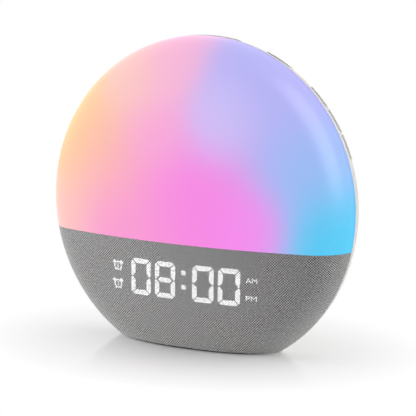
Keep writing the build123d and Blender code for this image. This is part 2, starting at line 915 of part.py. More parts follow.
with BuildPart() as key_switches:
    for name, turn, span in keys:
        with BuildSketch(radial_plane(turn, strip_radius, key_middle)):
            Rectangle(switch_size, switch_size)
        extrude(amount=switch_height)
        with BuildSketch(radial_plane(turn, strip_radius + switch_height, key_middle)):
            Circle(plunger_radius)
        extrude(amount=plunger_height)
write(key_switches, "key_switches")

# Main board with its chips, capacitors, sockets, back-up cell and power jack
with BuildPart() as main_board:
    with BuildSketch(facing_plane(main_board_rear)):
        with Locations((0, -main_board_drop)):
            RectangleRounded(*main_board_size, radius=small_boss_radius)
        with Locations(*main_screws_at):
            Circle(small_screw_radius + slip_gap, mode=Mode.SUBTRACT)
    extrude(amount=main_board_thickness)
write(main_board, "main_board")

main_board_screws = screw_set(
    facing_plane(main_board_rear),
    main_screws_at,
    small_screw_radius,
    small_screw_head_radius,
    small_screw_head_height,
    main_board_thickness + small_screw_bite,
)
write(main_board_screws, "main_board_screws")

with BuildPart() as control_chips:
    with BuildSketch(facing_plane(main_board_rear)):
        for x, z, width, height in chips:
            with Locations((x, z)):
                Rectangle(width, height)
    extrude(amount=-chip_thickness)
write(control_chips, "control_chips")

with BuildPart() as capacitors:
    with BuildSketch(facing_plane(main_board_rear)):
        with Locations(*capacitors_at):
            Circle(capacitor_radius)
    extrude(amount=-capacitor_height)
    fillet(capacitors.faces().group_by(Axis.Y)[-1].edges(), capacitor_radius / 8)
write(capacitors, "capacitors")

with BuildPart() as board_sockets:
    with BuildSketch(facing_plane(main_board_rear)):
        with Locations(*[(x, -socket_drop) for x in socket_columns]):
            Rectangle(*socket_size)
    extrude(amount=-socket_height)
write(board_sockets, "board_sockets")

cell_seat = main_board_rear + cell_cup_floor
with BuildPart() as cell_holder:
    with BuildSketch(facing_plane(main_board_rear)):
        with Locations((cell_x, -cell_drop)):
            Circle(cell_radius + cell_cup_gap + cell_cup_wall)
    extrude(amount=-cell_cup_height)
    with BuildSketch(facing_plane(cell_seat)):
        with Locations((cell_x, -cell_drop)):
            Circle(cell_radius + cell_cup_gap)
    extrude(amount=-cell_cup_height, mode=Mode.SUBTRACT)
write(cell_holder, "cell_holder")

with BuildPart() as coin_cell:
    with BuildSketch(facing_plane(cell_seat)):
        with Locations((cell_x, -cell_drop)):
            Circle(cell_radius)
    extrude(amount=-cell_thickness)
    chamfer(coin_cell.edges(), cell_thickness / 8)
write(coin_cell, "coin_cell")

with BuildPart() as power_jack:
    with BuildSketch(facing_plane(main_board_rear)):
        with Locations((0, -jack_drop)):
            Rectangle(jack_body_width, jack_body_width)
    extrude(amount=main_board_rear - jack_floor_inner)
    with BuildSketch(facing_plane(jack_floor_inner)):
        with Locations((0, -jack_drop)):
            Circle(jack_nose_radius)
    extrude(amount=-jack_recess_wall)
    with BuildSketch(facing_plane(jack_recess_floor)):
        with Locations((0, -jack_drop)):
            Circle(jack_bore_radius)
    extrude(amount=jack_bore_depth, mode=Mode.SUBTRACT)
write(power_jack, "power_jack")

with BuildPart() as power_jack_pin:
    with BuildSketch(facing_plane(jack_recess_floor - jack_bore_depth)):
        with Locations((0, -jack_drop)):
            Circle(jack_pin_radius)
    extrude(amount=-(jack_bore_depth - jack_pin_radius))
    fillet(power_jack_pin.faces().sort_by(Axis.Y)[-1].edges(), jack_pin_radius / 2)
write(power_jack_pin, "power_jack_pin")

# Speaker, turned about its own axis, facing the grille
speaker_axis = Axis((0, 0, centre_height + speaker_rise), (0, 1, 0))
speaker_section = Plane.XY.offset(centre_height + speaker_rise)
gasket_front = speaker_seat - speaker_gasket_thickness
flange_front = gasket_front - speaker_flange_thickness
ledge_radius = speaker_opening_radius - surround_ledge
basket_rear = flange_front - basket_depth
cone_rim = flange_front - surround_ledge
cone_neck = cone_rim - cone_depth
coil_end = basket_rear + cone_travel + cone_gap
coil_outer = coil_radius + coil_thickness

with BuildSketch() as flange_outline:
    with Locations(speaker_centre):
        RectangleRounded(speaker_flange, speaker_flange, speaker_flange_corner)
        Circle(speaker_opening_radius, mode=Mode.SUBTRACT)
    with Locations(*speaker_bosses):
        Circle(small_screw_radius + slip_gap, mode=Mode.SUBTRACT)
with BuildPart() as speaker_gasket:
    with BuildSketch(facing_plane(speaker_seat)):
        add(flange_outline.sketch)
    extrude(amount=speaker_gasket_thickness)
write(speaker_gasket, "speaker_gasket")

with BuildPart() as speaker_frame:
    with BuildSketch(facing_plane(gasket_front)):
        add(flange_outline.sketch)
    extrude(amount=speaker_flange_thickness)
    with BuildSketch(speaker_section):
        Polygon(
            (coil_outer + cone_gap, basket_rear),
            (basket_rear_radius, basket_rear),
            (speaker_opening_radius + basket_wall, flange_front),
            (speaker_opening_radius + basket_wall, flange_front + basket_wall / 2),
            (speaker_opening_radius, flange_front + basket_wall / 2),
            (speaker_opening_radius, flange_front),
            (ledge_radius, flange_front),
            (ledge_radius, flange_front - basket_wall),
            (basket_rear_radius - basket_wall, basket_rear + basket_wall),
            (coil_outer + cone_gap, basket_rear + basket_wall),
        )
    revolve(axis=speaker_axis)
    with BuildSketch(facing_plane(basket_rear + basket_wall)):
        with Locations(speaker_centre):
            with PolarLocations(basket_rear_radius + basket_wall, basket_window_count):
                SlotOverall(basket_depth, basket_wall * 5, rotation=90)
    extrude(amount=-(basket_depth - 3 * basket_wall), mode=Mode.SUBTRACT)
write(speaker_frame, "speaker_frame")

with BuildPart() as speaker_magnet:
    with BuildSketch(facing_plane(basket_rear)):
        with Locations(speaker_centre):
            Circle(magnet_radius)
    extrude(amount=magnet_thickness)
    with BuildSketch(facing_plane(basket_rear)):
        with Locations(speaker_centre):
            Circle(pole_radius)
    extrude(amount=-pole_rise)
write(speaker_magnet, "speaker_magnet")

# Cone, voice coil and dust cap in one piece
cap_height = cone_neck + cone_thickness + dust_cap_rise
with BuildPart() as speaker_cone:
    with BuildSketch(speaker_section):
        with BuildLine():
            TangentArc((0, cap_height), (coil_outer, cone_neck + cone_thickness), tangent=(1, 0))
            Polyline(
                (coil_outer, cone_neck + cone_thickness),
                (cone_radius, cone_rim),
                (cone_radius, cone_rim - cone_thickness),
                (coil_outer, cone_neck),
                (coil_outer, coil_end),
                (coil_radius, coil_end),
                (coil_radius, cone_neck),
            )
            TangentArc((0, cap_height - cone_thickness), (coil_radius, cone_neck), tangent=(1, 0))
            Line((0, cap_height - cone_thickness), (0, cap_height))
        make_face()
    revolve(axis=speaker_axis)
write(speaker_cone, "speaker_cone")

# Rubber surround: an inner lip on the cone, a half roll, and an outer lip on the basket's ledge
roll_low = cone_radius - surround_thickness
roll_high = ledge_radius - surround_thickness
with BuildPart() as speaker_surround:
    with BuildSketch(speaker_section):
        with BuildLine():
            Polyline(
                (roll_low, cone_rim + surround_thickness),
                (roll_low - surround_ledge, cone_rim + surround_thickness),
                (roll_low - surround_ledge, cone_rim),
                (roll_low + surround_thickness, cone_rim),
            )
            ThreePointArc(
                (roll_low + surround_thickness, cone_rim),
                ((roll_low + roll_high) / 2, flange_front + surround_roll - surround_thickness),
                (roll_high, flange_front),
            )
            Polyline(
                (roll_high, flange_front),
                (speaker_opening_radius - surround_thickness / 2, flange_front),
                (speaker_opening_radius - surround_thickness / 2, flange_front + surround_thickness),
                (roll_high, flange_front + surround_thickness),
            )
            ThreePointArc(
                (roll_high, flange_front + surround_thickness),
                ((roll_low + roll_high) / 2, flange_front + surround_roll),
                (roll_low, cone_rim + surround_thickness),
            )
        make_face()
    revolve(axis=speaker_axis)
write(speaker_surround, "speaker_surround")

speaker_screws = screw_set(
    backing_plane(flange_front),
    speaker_bosses,
    small_screw_radius,
    small_screw_head_radius,
    small_screw_head_height,
    speaker_flange_thickness + speaker_gasket_thickness + small_screw_bite,
)
write(speaker_screws, "speaker_screws")


# Internal leads: a ribbon to the display, and round leads to the lamp board and the speaker
def side_plane(x):
    """Plane across the clock's width, with x to the rear and y up from the rim's centre."""
    return Plane(origin=(x, 0, centre_height), x_dir=(0, 1, 0), z_dir=(1, 0, 0))


board_face = display_plane(display_board_rear)
ribbon_start = board_face.from_local_coords(Vector(0, -ribbon_exit, 0))
ribbon_leave = board_face.from_local_coords(Vector(0, -ribbon_exit, -ribbon_stub))
with BuildPart() as display_ribbon:
    with BuildSketch(side_plane(-ribbon_width / 2)):
        with BuildLine():
            FilletPolyline(
                (ribbon_start.Y, ribbon_start.Z - centre_height),
                (ribbon_leave.Y, ribbon_leave.Z - centre_height),
                (chassis_front - ribbon_slope, -ribbon_drop),
                (chassis_rear + ribbon_bend, -ribbon_drop),
                (main_board_front - ribbon_slope, -ribbon_socket_drop),
                (main_board_front, -ribbon_socket_drop),
                radius=ribbon_bend,
            )
        trace(line_width=ribbon_thickness)
    extrude(amount=ribbon_width)
write(display_ribbon, "display_ribbon")


def lead(x, *path):
    """Round lead that runs in one upright plane through tangent bends."""
    with BuildPart() as run:
        with BuildLine(side_plane(x)) as route:
            FilletPolyline(*path, radius=wire_bend)
        with BuildSketch(Plane(origin=route.line @ 0, z_dir=route.line % 0)):
            Circle(wire_radius)
        sweep(path=route.line)
    return run


socket_face = main_board_rear + socket_height
arch = socket_face + wire_arch
lamp_lead = lead(
    lamp_wire_x,
    (chassis_front, -lamp_wire_drop),
    (main_board_front, -lamp_wire_drop),
    (arch, -wire_arch_drop),
    (arch, -socket_drop),
    (socket_face, -socket_drop),
)
write(lamp_lead, "lamp_lead")

speaker_tag = speaker_rise - speaker_flange / 2 + speaker_tag_rise
speaker_lead = lead(
    socket_columns[1],
    (flange_front, speaker_tag),
    (flange_front - wire_stub, speaker_tag),
    (arch, -wire_arch_drop),
    (arch, -socket_drop),
    (socket_face, -socket_drop),
)
write(speaker_lead, "speaker_lead")
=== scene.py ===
import json
from math import asin, atan2, cos, hypot, pi, radians, sin

import bpy
from mathutils import Matrix, Vector


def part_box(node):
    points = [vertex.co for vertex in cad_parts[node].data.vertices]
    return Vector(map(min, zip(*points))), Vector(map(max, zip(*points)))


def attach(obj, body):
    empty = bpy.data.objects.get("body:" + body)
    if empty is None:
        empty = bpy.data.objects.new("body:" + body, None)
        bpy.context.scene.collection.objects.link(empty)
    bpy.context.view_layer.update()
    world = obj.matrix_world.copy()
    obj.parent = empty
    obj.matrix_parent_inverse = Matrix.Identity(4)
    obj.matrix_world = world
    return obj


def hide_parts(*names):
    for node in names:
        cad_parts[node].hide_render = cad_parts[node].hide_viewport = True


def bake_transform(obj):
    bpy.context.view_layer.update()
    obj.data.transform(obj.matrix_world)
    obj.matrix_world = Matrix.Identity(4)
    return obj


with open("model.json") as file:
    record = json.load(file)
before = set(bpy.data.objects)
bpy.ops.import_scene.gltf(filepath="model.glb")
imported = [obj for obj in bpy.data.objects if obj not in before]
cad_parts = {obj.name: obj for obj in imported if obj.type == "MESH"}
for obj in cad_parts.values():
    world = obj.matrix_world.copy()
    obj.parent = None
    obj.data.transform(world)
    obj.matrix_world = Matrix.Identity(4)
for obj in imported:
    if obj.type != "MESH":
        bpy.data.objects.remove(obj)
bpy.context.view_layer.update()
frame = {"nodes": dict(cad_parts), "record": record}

print("frame loaded:", len(frame["nodes"]), "nodes")

mm = 0.001

# The round body that everything is laid out on, in metres
body = {
    "rimRadius": 90 * mm,
    "centreHeight": 76.4 * mm,
    "seamHeight": 58.3 * mm,
    "baseHeight": 0.8 * mm,
    "frontDepth": 30.8 * mm,
    "frontEdge": 22 * mm,
}
rimCentre = Vector((0, 0, body["centreHeight"]))
reach = body["rimRadius"] - body["frontEdge"]  # from the rim's axis to the centre of the rounded edge
crownRadius = (reach**2 + body["frontDepth"] ** 2 - body["frontEdge"] ** 2) / (
    2 * (body["frontDepth"] - body["frontEdge"])
)
crownTurn = asin(reach / (crownRadius - body["frontEdge"]))  # from the middle to the rounded edge

# Values that the pieces' modelling shares
modelling = {
    "turnSteps": 192,  # in a full turn about the rim's axis
    "edgeSteps": 20,  # round the front's edge
    "mergeSpun": 0.002 * mm,  # points of a spun mesh nearer than this become one
    "mergeCopied": 0.001 * mm,  # the same for a copy of a node's mesh
    "planeSlack": 0.01 * mm,  # a point this near a plane lies on it
    "rimSlack": 0.05 * mm,  # a point this near the rim's edge lies on it
    "startDepth": -40 * mm,  # y where flat shapes start, in front of the display
}


# Modelling helpers
def deselectAll():
    if bpy.context.object and bpy.context.object.mode != "OBJECT":
        bpy.ops.object.mode_set(mode="OBJECT")
    bpy.ops.object.select_all(action="DESELECT")


def pick(piece):
    deselectAll()
    bpy.context.view_layer.objects.active = piece
    piece.select_set(True)


def openAll(piece):
    pick(piece)
    bpy.ops.object.mode_set(mode="EDIT")
    bpy.ops.mesh.select_mode(type="VERT")
    bpy.ops.mesh.select_all(action="SELECT")


def close():
    bpy.ops.object.mode_set(mode="OBJECT")


def startPlane(name, width, height, x, z):  # upright, facing the front
    deselectAll()
    start = (x, modelling["startDepth"], z)
    bpy.ops.mesh.primitive_plane_add(size=1, location=start, rotation=(pi / 2, 0, 0))
    piece = bpy.context.object
    piece.scale = (width, height, 1)
    piece.name = piece.data.name = name
    bpy.ops.object.transform_apply(location=True, rotation=True, scale=True)
    return piece


def cutAway(piece, point, normal, fill=False):  # removes what lies on the normal's side
    openAll(piece)
    bpy.ops.mesh.bisect(plane_co=point, plane_no=normal, clear_outer=True, use_fill=fill)
    close()


def finishWith(piece, kind, **settings):
    pick(piece)
    modifier = piece.modifiers.new(kind.title(), kind)
    for setting, value in settings.items():
        setattr(modifier, setting, value)
    bpy.ops.object.modifier_apply(modifier=modifier.name)


def joinPieces(name, pieces):
    deselectAll()
    for piece in pieces:
        piece.select_set(True)
    bpy.context.view_layer.objects.active = pieces[0]
    if len(pieces) > 1:
        bpy.ops.object.join()
    joined = bpy.context.object
    joined.name = joined.data.name = name
    return joined


def copyOf(piece, matrix):
    twin = piece.copy()
    twin.data = piece.data.copy()
    bpy.context.scene.collection.objects.link(twin)
    twin.data.transform(matrix)
    return twin


def selectEdges(piece, test):  # edges whose two ends both pass the test
    pick(piece)
    bpy.ops.object.mode_set(mode="EDIT")
    bpy.ops.mesh.select_mode(type="EDGE")
    bpy.ops.mesh.select_all(action="DESELECT")
    close()
    points = piece.data.vertices
    for edge in piece.data.edges:
        edge.select = all(test(points[i].co) for i in edge.vertices)
    bpy.ops.object.mode_set(mode="EDIT")


def smooth(piece, degrees=35):
    pick(piece)
    bpy.ops.object.shade_smooth_by_angle(angle=radians(degrees))


def faceFront(piece):  # flat shapes all look out of the display
    pick(piece)
    bpy.ops.object.mode_set(mode="EDIT")
    bpy.ops.mesh.select_mode(type="FACE")
    bpy.ops.mesh.select_all(action="DESELECT")
    close()
    for face in piece.data.polygons:
        face.select = face.normal.y > 0
    bpy.ops.object.mode_set(mode="EDIT")
    bpy.ops.mesh.flip_normals()
    close()


def spinRound():  # turns the open mesh once about the rim's axis and closes it
    bpy.ops.mesh.select_all(action="SELECT")
    bpy.ops.mesh.spin(steps=modelling["turnSteps"], angle=2 * pi, center=rimCentre, axis=(0, 1, 0))
    bpy.ops.mesh.select_all(action="SELECT")
    bpy.ops.mesh.remove_doubles(threshold=modelling["mergeSpun"])
    bpy.ops.mesh.normals_make_consistent(inside=False)
    close()


def spunFront(name, crownSteps):  # the crowned front with its rounded edge, as one skin
    deselectAll()
    apex = (0, -body["frontDepth"], body["centreHeight"])
    bpy.ops.mesh.primitive_plane_add(size=mm, location=apex)
    piece = bpy.context.object
    piece.name = piece.data.name = name
    bpy.ops.object.transform_apply(location=True)
    openAll(piece)
    bpy.ops.mesh.merge(type="CENTER")
    crownCentre = (0, crownRadius - body["frontDepth"], body["centreHeight"])
    edgeCentre = (reach, 0, body["centreHeight"])
    edgeSteps = modelling["edgeSteps"]
    bpy.ops.mesh.spin(steps=crownSteps, angle=-crownTurn, center=crownCentre, axis=(0, 0, 1))
    bpy.ops.mesh.spin(steps=edgeSteps, angle=crownTurn - pi / 2, center=edgeCentre, axis=(0, 0, 1))
    spinRound()
    apexFace = min(piece.data.polygons, key=lambda face: face.center.y)
    if apexFace.normal.y > 0:
        openAll(piece)
        bpy.ops.mesh.flip_normals()
        close()
    return piece


def onRim(point):  # on the front's open edge, in the plane y = 0
    out = (point - rimCentre).length
    return abs(point.y) < modelling["planeSlack"] and out > body["rimRadius"] - modelling["rimSlack"]


# Material helpers
def shade(red, green, blue):  # a screen colour as the linear one that shaders take
    linear = [c / 12.92 if c <= 0.04045 else ((c + 0.055) / 1.055) ** 2.4 for c in (red, green, blue)]
    return (*linear, 1)


def put(tree, value, socket):
    if isinstance(value, bpy.types.NodeSocket):
        tree.links.new(value, socket)
    else:
        socket.default_value = value


def calc(tree, operation, *values, clamp=False):
    node = tree.nodes.new("ShaderNodeMath")
    node.operation = operation
    node.use_clamp = clamp
    for socket, value in zip(node.inputs, values):
        put(tree, value, socket)
    return node.outputs[0]


def vectorCalc(tree, operation, *values, out=0):  # out is 1 where the result is a number
    node = tree.nodes.new("ShaderNodeVectorMath")
    node.operation = operation
    for socket, value in zip(node.inputs, values):
        put(tree, value, socket)
    return node.outputs[out]


def scaled(tree, vector, share):
    product = vectorCalc(tree, "SCALE", vector)
    put(tree, share, product.node.inputs["Scale"])
    return product


def blendColours(tree, factor, first, second):
    node = tree.nodes.new("ShaderNodeMix")
    node.data_type = "RGBA"
    put(tree, factor, node.inputs["Factor"])
    put(tree, first, node.inputs[6])  # a mix node's colours are its sockets 6 and 7, and come out at 2
    put(tree, second, node.inputs[7])
    return node.outputs[2]


def objectPlace(tree):
    return tree.nodes.new("ShaderNodeTexCoord").outputs["Object"]


def axesOf(tree, vector):
    node = tree.nodes.new("ShaderNodeSeparateXYZ")
    tree.links.new(vector, node.inputs["Vector"])
    return node.outputs


def noise(tree, vector, scale, detail=2):
    node = tree.nodes.new("ShaderNodeTexNoise")
    tree.links.new(vector, node.inputs["Vector"])
    put(tree, scale, node.inputs["Scale"])
    node.inputs["Detail"].default_value = detail
    return node.outputs["Fac"]


def ramp(tree, value, start, end, low=0, high=1, curve="LINEAR"):
    node = tree.nodes.new("ShaderNodeMapRange")
    node.interpolation_type = curve
    for title, number in (("From Min", start), ("From Max", end), ("To Min", low), ("To Max", high)):
        node.inputs[title].default_value = number
    put(tree, value, node.inputs["Value"])
    return node.outputs["Result"]


def newMaterial(name):
    material = bpy.data.materials.new(name)
    material.use_nodes = True
    return material, material.node_tree, material.node_tree.nodes["Principled BSDF"]


def newGroup(name, inputs, outputs):
    group = bpy.data.node_groups.new(name, "ShaderNodeTree")
    for title, kind, default in inputs:
        socket = group.interface.new_socket(title, in_out="INPUT", socket_type=kind)
        socket.default_value = default
    for title, kind in outputs:
        group.interface.new_socket(title, in_out="OUTPUT", socket_type=kind)
    return group, group.nodes.new("NodeGroupInput").outputs, group.nodes.new("NodeGroupOutput").inputs


def useGroup(tree, group, **values):
    node = tree.nodes.new("ShaderNodeGroup")
    node.node_tree = group
    for title, value in values.items():
        put(tree, value, node.inputs[title])
    return node.outputs


def bump(tree, shader, height, strength, distance):
    node = tree.nodes.new("ShaderNodeBump")
    node.inputs["Strength"].default_value = strength
    node.inputs["Distance"].default_value = distance
    tree.links.new(height, node.inputs["Height"])
    tree.links.new(node.outputs["Normal"], shader.inputs["Normal"])


def dress(piece, material):
    piece.data.materials.clear()
    piece.data.materials.append(material)


# Fine grain of mouldings, metals and boards: cloudy colour, uneven roughness and a fine height
grainLook = {
    "fineDetail": 3,
    "cloudScale": 40,  # per metre
    "stray": 0.16,  # how far the roughness strays, from lowest to highest
}
grain, given, made = newGroup(
    "mouldedGrain",
    [
        ("Colour", "NodeSocketColor", (0.8, 0.8, 0.8, 1)),
        ("Scale", "NodeSocketFloat", 1500.0),
        ("Mottle", "NodeSocketFloat", 0.05),
        ("Roughness", "NodeSocketFloat", 0.5),
    ],
    [("Colour", "NodeSocketColor"), ("Roughness", "NodeSocketFloat"), ("Height", "NodeSocketFloat")],
)
grainPlace = objectPlace(grain)
fine = noise(grain, grainPlace, given["Scale"], grainLook["fineDetail"])
cloud = noise(grain, grainPlace, grainLook["cloudScale"])
darker = scaled(grain, given["Colour"], calc(grain, "SUBTRACT", 1.0, given["Mottle"]))
put(grain, blendColours(grain, cloud, given["Colour"], darker), made["Colour"])
stray = calc(grain, "MULTIPLY_ADD", cloud, grainLook["stray"], -grainLook["stray"] / 2)
put(grain, calc(grain, "ADD", given["Roughness"], stray, clamp=True), made["Roughness"])
put(grain, fine, made["Height"])

# Plain weave from coordinates in millimetres over the cloth, with painted shade in the hollows between its
# yarns; its light and dark yarns wander in strength
weaveLook = {
    "heap": (0.35, 0.77),  # painted shade between the yarns: tone gained where a yarn stands out, and tone without it
    "fuzzScale": 0.9,  # unevenness of the yarns, per millimetre
    "fuzz": (1.7, 0.13),  # gain and offset
    "patchScale": 0.09,  # patches where the two yarns are hard to tell apart
    "patch": (-2.2, 1.35),  # gain and offset
}
weave, given, made = newGroup(
    "clothWeave",
    [
        ("Place", "NodeSocketVector", (0, 0, 0)),
        ("Pitch", "NodeSocketFloat", 0.72),
        ("Light", "NodeSocketColor", (0.5, 0.5, 0.5, 1)),
        ("Dark", "NodeSocketColor", (0.1, 0.1, 0.1, 1)),
    ],
    [("Colour", "NodeSocketColor"), ("Height", "NodeSocketFloat")],
)


def ridge(position):  # one rounded ridge for each whole number
    return calc(weave, "ABSOLUTE", calc(weave, "SINE", calc(weave, "MULTIPLY", position, pi)))


axes = axesOf(weave, given["Place"])
across = calc(weave, "DIVIDE", axes["X"], given["Pitch"])
along = calc(weave, "DIVIDE", axes["Y"], given["Pitch"])
cells = calc(weave, "ADD", calc(weave, "FLOOR", across), calc(weave, "FLOOR", along))
over = calc(weave, "FLOORED_MODULO", cells, 2.0)
warpShow = calc(weave, "MULTIPLY", ridge(across), over)
weftShow = calc(weave, "MULTIPLY", ridge(along), calc(weave, "SUBTRACT", 1.0, over))
heap = calc(weave, "ADD", warpShow, weftShow)
fuzz = noise(weave, given["Place"], weaveLook["fuzzScale"])
patches = noise(weave, given["Place"], weaveLook["patchScale"])
wash = calc(weave, "MULTIPLY_ADD", patches, *weaveLook["patch"], clamp=True)
apartYarn = blendColours(weave, over, given["Dark"], given["Light"])
mixedYarn = blendColours(weave, 0.5, given["Dark"], given["Light"])
yarn = blendColours(weave, wash, apartYarn, mixedYarn)
# painted shade: the yarns' colour is darker in the hollows between them
paintedYarnShade = calc(weave, "MULTIPLY_ADD", heap, *weaveLook["heap"])
fuzzShare = calc(weave, "MULTIPLY_ADD", fuzz, *weaveLook["fuzz"])
put(weave, scaled(weave, yarn, calc(weave, "MULTIPLY", paintedYarnShade, fuzzShare)), made["Colour"])
put(weave, heap, made["Height"])
print("node groups made")

clothMap = "cloth"


def clothCoordinates(piece):  # distance over the crown from its middle, in millimetres
    layer = piece.data.uv_layers.new(name=clothMap)
    for loop in piece.data.loops:
        point = piece.data.vertices[loop.vertex_index].co - rimCentre
        out = hypot(point.x, point.z)
        bend = atan2(out, crownRadius - body["frontDepth"] - point.y)
        length = crownRadius * min(bend, crownTurn)
        if bend > crownTurn:
            edgeTurn = atan2(max(out - reach, 0), max(-point.y, 0)) - crownTurn
            length += body["frontEdge"] * max(edgeTurn, 0)
        share = length / out / mm if out > modelling["planeSlack"] else 1 / mm
        layer.data[loop.index].uv = (point.x * share, point.z * share)


def wovenColours(tree, light, dark):  # the weave, laid over a piece by its cloth coordinates
    layout = tree.nodes.new("ShaderNodeUVMap")
    layout.uv_map = clothMap
    return useGroup(tree, weave, Place=layout.outputs["UV"], Pitch=cloth["pitch"], Light=light, Dark=dark)


# Camera
view = {
    "azimuth": 28.615,
    "elevation": 8.967,
    "distance": 1.02783,
    "lens": 165.18,
    "sensor": 36,
    "shift": (0.01195, -0.01267),
    "roll": 0.913,
}
azimuth, elevation = radians(view["azimuth"]), radians(view["elevation"])
back = Vector((sin(azimuth) * cos(elevation), -cos(azimuth) * cos(elevation), sin(elevation)))
right = Vector((cos(azimuth), sin(azimuth), 0))
up = back.cross(right)
cameraData = bpy.data.cameras.new("camera")
cameraData.lens = view["lens"]
cameraData.sensor_width = view["sensor"]
cameraData.shift_x, cameraData.shift_y = view["shift"]
camera = bpy.data.objects.new("camera", cameraData)
bpy.context.scene.collection.objects.link(camera)
turn = Matrix((right, up, back)).transposed().to_4x4()
stand = Matrix.Translation(rimCentre + back * view["distance"])
camera.matrix_world = stand @ turn @ Matrix.Rotation(radians(view["roll"]), 4, "Z")
bpy.context.scene.camera = camera
print("camera placed")

# Diffuser: one crowned shell down to the seam, with the tongue that enters the housing
diffuser = {
    "crownSteps": 16,
    "wall": 2.4 * mm,
    "tongue": (85.488 * mm, 87.088 * mm, 3 * mm),  # inner radius, outer radius, length
    "tongueRoot": 0.9 * mm,  # how far the root reaches past the tongue into the shell
    "flat": 1,  # degrees; faces that turn by less become one
    "soften": 0.3 * mm,
    "softenSegments": 3,
    "roughness": 0.34,
    "specular": 0.3,
    "glow": 0.80,
    "paintedGlowInBase": 0.16,
    "rimFade": (-3.5 * mm, -0.5 * mm),  # y from where to where the painted glow deepens towards the rim
    "rimShare": 0.4,
    "grainScale": 900.0,
    "bump": (0.04, 0.02 * mm),  # strength and distance
}
diffuserShell = spunFront("diffuserShell", diffuser["crownSteps"])
finishWith(diffuserShell, "SOLIDIFY", thickness=diffuser["wall"], offset=-1, use_even_offset=True)

# The tongue is one stepped section: its wide root is split, and the inner part of its end drawn out
tongueInner, tongueOuter, tongueLength = diffuser["tongue"]
rootOuter = tongueOuter + diffuser["tongueRoot"]
slack = modelling["planeSlack"]
deselectAll()
rootMiddle = ((tongueInner + rootOuter) / 2, -tongueLength / 2, body["centreHeight"])
bpy.ops.mesh.primitive_plane_add(size=1, location=rootMiddle)
tongue = bpy.context.object
tongue.name = tongue.data.name = "tongue"
tongue.scale = (rootOuter - tongueInner, tongueLength, 1)
bpy.ops.object.transform_apply(location=True, rotation=True, scale=True)
openAll(tongue)
bpy.ops.mesh.bisect(plane_co=(tongueOuter, 0, 0), plane_no=(1, 0, 0))
close()
selectEdges(tongue, lambda point: abs(point.y) < slack and point.x < tongueOuter + slack)
bpy.ops.mesh.extrude_edges_move(TRANSFORM_OT_translate={"value": (0, tongueLength, 0)})
bpy.ops.mesh.select_mode(type="VERT")
bpy.ops.mesh.select_all(action="SELECT")
bpy.ops.mesh.dissolve_limited(angle_limit=radians(diffuser["flat"]))
bpy.ops.mesh.delete(type="ONLY_FACE")
spinRound()
finishWith(diffuserShell, "BOOLEAN", operation="UNION", solver="EXACT", object=tongue)
bpy.data.objects.remove(tongue)
cutAway(diffuserShell, (0, 0, body["seamHeight"]), (0, 0, -1), fill=True)
selectEdges(diffuserShell, onRim)
bpy.ops.mesh.bevel(offset=diffuser["soften"], segments=diffuser["softenSegments"], affect="EDGES")
close()
smooth(diffuserShell)

# Painted glow of the coloured lamps behind the diffuser, as soft colour spots on its surface: x and z from
# the rim's centre and reach in mm, then the colour
glowSpots = {
    "apricot": (-80, 36, 22, shade(1.0, 0.84, 0.56)),
    "blush": (-82, -8, 16, shade(1.0, 0.79, 0.77)),
    "coral": (-50, 24, 17, shade(1.0, 0.73, 0.70)),
    "shell": (-32, 66, 13, shade(1.0, 0.80, 0.78)),
    "pink": (-34, -4, 20, shade(1.0, 0.62, 0.85)),
    "rose": (-14, 40, 13, shade(1.0, 0.68, 0.87)),
    "candy": (-10, 74, 12, shade(1.0, 0.73, 0.87)),
    "magenta": (14, 8, 20, shade(1.0, 0.55, 0.92)),
    "orchid": (42, -6, 12, shade(1.0, 0.57, 0.98)),
    "lilac": (24, 48, 12, shade(0.85, 0.80, 1.0)),
    "periwinkle": (46, 62, 22, shade(0.74, 0.73, 1.0)),
    "sky": (68, 26, 16, shade(0.63, 0.77, 1.0)),
    "cyan": (86, -10, 17, shade(0.33, 0.83, 1.0)),
}
diffuserGloss, tree, shader = newMaterial("litDiffuser")
diffuserPlace = objectPlace(tree)
flatten = tree.nodes.new("ShaderNodeMapping")  # to millimetres from the rim's centre, without depth
flatten.inputs["Location"].default_value = (0, 0, -body["centreHeight"] / mm)
flatten.inputs["Scale"].default_value = (1 / mm, 0, 1 / mm)
tree.links.new(diffuserPlace, flatten.inputs["Vector"])
colourSum = shareSum = None
for x, z, spread, colour in glowSpots.values():
    distance = vectorCalc(tree, "DISTANCE", flatten.outputs["Vector"], (x, 0, z), out=1)
    fall = calc(tree, "POWER", calc(tree, "DIVIDE", distance, float(spread)), 2.0)
    share = calc(tree, "EXPONENT", calc(tree, "MULTIPLY", fall, -0.5))
    tinted = scaled(tree, colour[:3], share)
    colourSum = tinted if colourSum is None else vectorCalc(tree, "ADD", colourSum, tinted)
    shareSum = share if shareSum is None else calc(tree, "ADD", shareSum, share)
evenGlow = scaled(tree, colourSum, calc(tree, "DIVIDE", 1.0, shareSum))
nearRim = ramp(tree, axesOf(tree, diffuserPlace)["Y"], *diffuser["rimFade"], curve="SMOOTHSTEP")
deepGlow = vectorCalc(tree, "MULTIPLY", evenGlow, evenGlow)
glow = blendColours(tree, calc(tree, "MULTIPLY", nearRim, diffuser["rimShare"]), evenGlow, deepGlow)
# Painted glow: the spots' colour is given off as light and, at a smaller share, also taken as the shell's
# base colour
put(tree, scaled(tree, glow, diffuser["paintedGlowInBase"]), shader.inputs["Base Color"])
put(tree, glow, shader.inputs["Emission Color"])
shader.inputs["Emission Strength"].default_value = diffuser["glow"]
shader.inputs["Specular IOR Level"].default_value = diffuser["specular"]
grained = useGroup(tree, grain, Scale=diffuser["grainScale"], Roughness=diffuser["roughness"])
put(tree, grained["Roughness"], shader.inputs["Roughness"])
bump(tree, shader, grained["Height"], *diffuser["bump"])
dress(diffuserShell, diffuserGloss)
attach(diffuserShell, "root")
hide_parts("diffuser_dome")
print("diffuser made")

